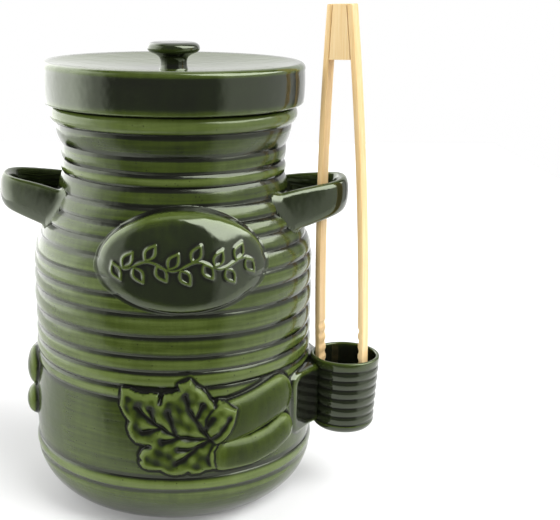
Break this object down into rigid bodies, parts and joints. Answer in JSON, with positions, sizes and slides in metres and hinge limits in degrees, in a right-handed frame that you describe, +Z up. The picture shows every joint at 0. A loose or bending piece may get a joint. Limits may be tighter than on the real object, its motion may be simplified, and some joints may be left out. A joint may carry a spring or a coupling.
{
  "type": "fermentation crock",
  "caption": "Ribbed glazed stoneware crock with loop handles, a knobbed lid, half-round weights, leaf and cucumber relief, and a side cup that holds bamboo tongs.",
  "frame": {"origin": "centre of the flat foot, on the surface the crock stands on", "axes": "+Z up, -Y to the front with the plaque and the leaf, +X to the right, towards the tong cup"},
  "size_m": [0.265, 0.2017, 0.3428],
  "materials": {
    "green_glaze": "glossy translucent green glaze, darker where it pools in grooves",
    "bamboo": "smooth unvarnished bamboo with a fine straight grain",
    "stoneware": "matt unglazed stoneware"
  },
  "bodies": {
    "crock": {"crock_body": "green_glaze", "left_handle": "green_glaze", "right_handle": "green_glaze", "oval_plaque": "green_glaze", "front_leaf": "green_glaze", "front_upper_cucumber": "green_glaze", "front_lower_cucumber": "green_glaze", "rear_leaf": "green_glaze", "rear_upper_cucumber": "green_glaze", "rear_lower_cucumber": "green_glaze", "tong_cup": "green_glaze", "tong_cup_saddle": "green_glaze"},
    "lid": {"lid": "green_glaze", "lid_knob": "green_glaze"},
    "tongs_head": {"tongs_wedge": "bamboo"},
    "tongs_left": {"tongs_left_arm": "bamboo"},
    "tongs_right": {"tongs_right_arm": "bamboo"},
    "left_weight": {"left_weight": "stoneware"},
    "right_weight": {"right_weight": "stoneware"}
  },
  "joints": [
    {"name": "lid_lift", "type": "slide", "parent": "crock", "child": "lid", "axis": [0, 0, 1], "range_m": [0, 0.12]},
    {"name": "tongs_lift", "type": "slide", "parent": "crock", "child": "tongs_head", "axis": [-0.034, 0, 0.9994], "range_m": [0, 0.18]},
    {"name": "left_arm_squeeze", "type": "hinge", "parent": "tongs_head", "child": "tongs_left", "pos_m": [0.10465, -0.01747, 0.3067], "axis": [-0.4997, -0.866, -0.017], "range_deg": [0, 2.7], "stiffness_Nm_per_rad": 6},
    {"name": "right_arm_squeeze", "type": "hinge", "parent": "tongs_head", "child": "tongs_right", "pos_m": [0.11787, -0.02511, 0.30715], "axis": [0.4997, 0.866, 0.017], "range_deg": [0, 2.7], "stiffness_Nm_per_rad": 6},
    {"name": "left_weight_lift", "type": "slide", "parent": "crock", "child": "left_weight", "axis": [0, 0, 1], "range_m": [0, 0.2]},
    {"name": "right_weight_lift", "type": "slide", "parent": "crock", "child": "right_weight", "axis": [0, 0, 1], "range_m": [0, 0.2]}
  ],
  "couplings": [
    {"joint": "right_arm_squeeze", "follows": "left_arm_squeeze", "ratio": 1}
  ]
}
